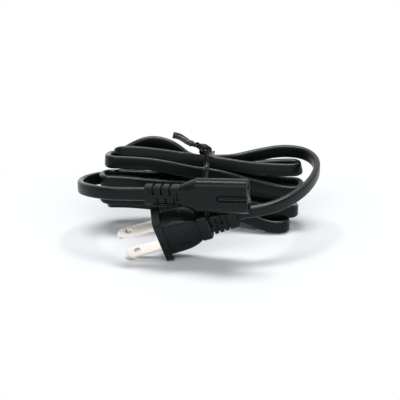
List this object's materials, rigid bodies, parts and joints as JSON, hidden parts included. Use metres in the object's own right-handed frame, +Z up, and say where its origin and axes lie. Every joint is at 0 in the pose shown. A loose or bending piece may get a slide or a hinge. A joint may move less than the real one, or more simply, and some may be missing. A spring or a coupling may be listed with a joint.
{
  "type": "power cord",
  "caption": "Flat mains power cord with a figure-eight appliance connector and a two-blade plug, wound into a loose hank held by a twist tie.",
  "frame": {"origin": "on the floor, under the middle of the part's outline", "axes": "+X along the hank, from the plug's blades towards the plug lead's wide loop; +Y from the plug and the connector towards the hank; +Z up"},
  "size_m": [0.112, 0.0626, 0.0446],
  "materials": {
    "cord": "smooth satin PVC",
    "moulding": "fine-grained moulded PVC",
    "blade_metal": "nickel plated",
    "holder": "plain",
    "core_insulation": "plain",
    "copper": "bare copper",
    "contact_metal": "bare",
    "tie_plastic": "satin",
    "tie_steel": "drawn wire"
  },
  "bodies": {
    "root": {"cord_plug_lead": "cord", "cord_hank": "cord", "cord_connector_lead": "cord", "plug_body": "moulding", "connector_body": "moulding", "plug_blade_upper": "blade_metal", "plug_blade_lower": "blade_metal", "plug_blade_holder": "holder", "connector_insert": "holder", "plug_core_upper": "core_insulation", "plug_core_lower": "core_insulation", "connector_core_upper": "core_insulation", "connector_core_lower": "core_insulation", "plug_strand_upper": "copper", "plug_strand_lower": "copper", "connector_strand_upper": "copper", "connector_strand_lower": "copper", "contact_upper": "contact_metal", "contact_lower": "contact_metal", "tie_ribbon": "tie_plastic", "tie_wire": "tie_steel"}
  },
  "joints": []
}
